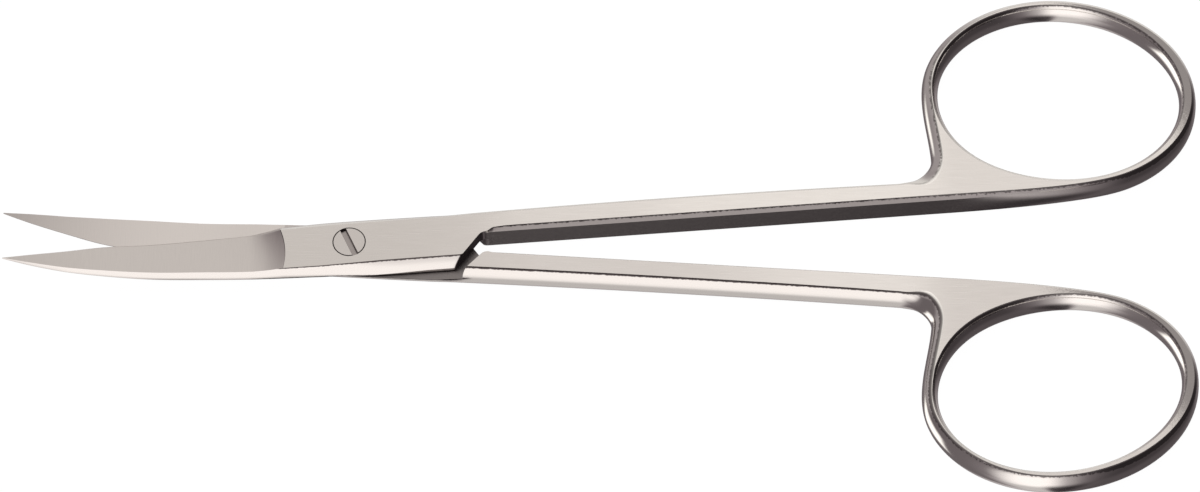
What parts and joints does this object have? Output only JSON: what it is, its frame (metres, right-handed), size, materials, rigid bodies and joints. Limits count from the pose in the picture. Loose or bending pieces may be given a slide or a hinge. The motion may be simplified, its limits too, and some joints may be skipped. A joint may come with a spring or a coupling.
{
  "type": "iris scissors",
  "caption": "Small curved-blade surgical scissors in polished steel, with long slim shanks, oval finger rings, a lap joint and a flush slotted pivot screw.",
  "frame": {"origin": "the pivot axis, at the flat back face on which the scissors lie", "axes": "+Z along the pivot axis, out of the face with the screw head, to which the blade tips bend; -X towards the blade tips, +X towards the finger rings; +Y towards the ring of the upper half"},
  "size_m": [0.1149, 0.0546, 0.0046],
  "materials": {
    "near_half_steel": "fine-ground flats, polished rounded sides",
    "far_half_steel": "fine-ground flats, polished rounded sides",
    "screw_steel": "ground flush with the joint plate"
  },
  "bodies": {
    "far_half": {"far_half": "far_half_steel", "pivot_screw": "screw_steel"},
    "near_half": {"near_half": "near_half_steel"}
  },
  "joints": [
    {"name": "pivot", "type": "hinge", "parent": "far_half", "child": "near_half", "pos_m": [0, 0, 0], "axis": [0, 0, 1], "range_deg": [-8.5, 75]}
  ]
}
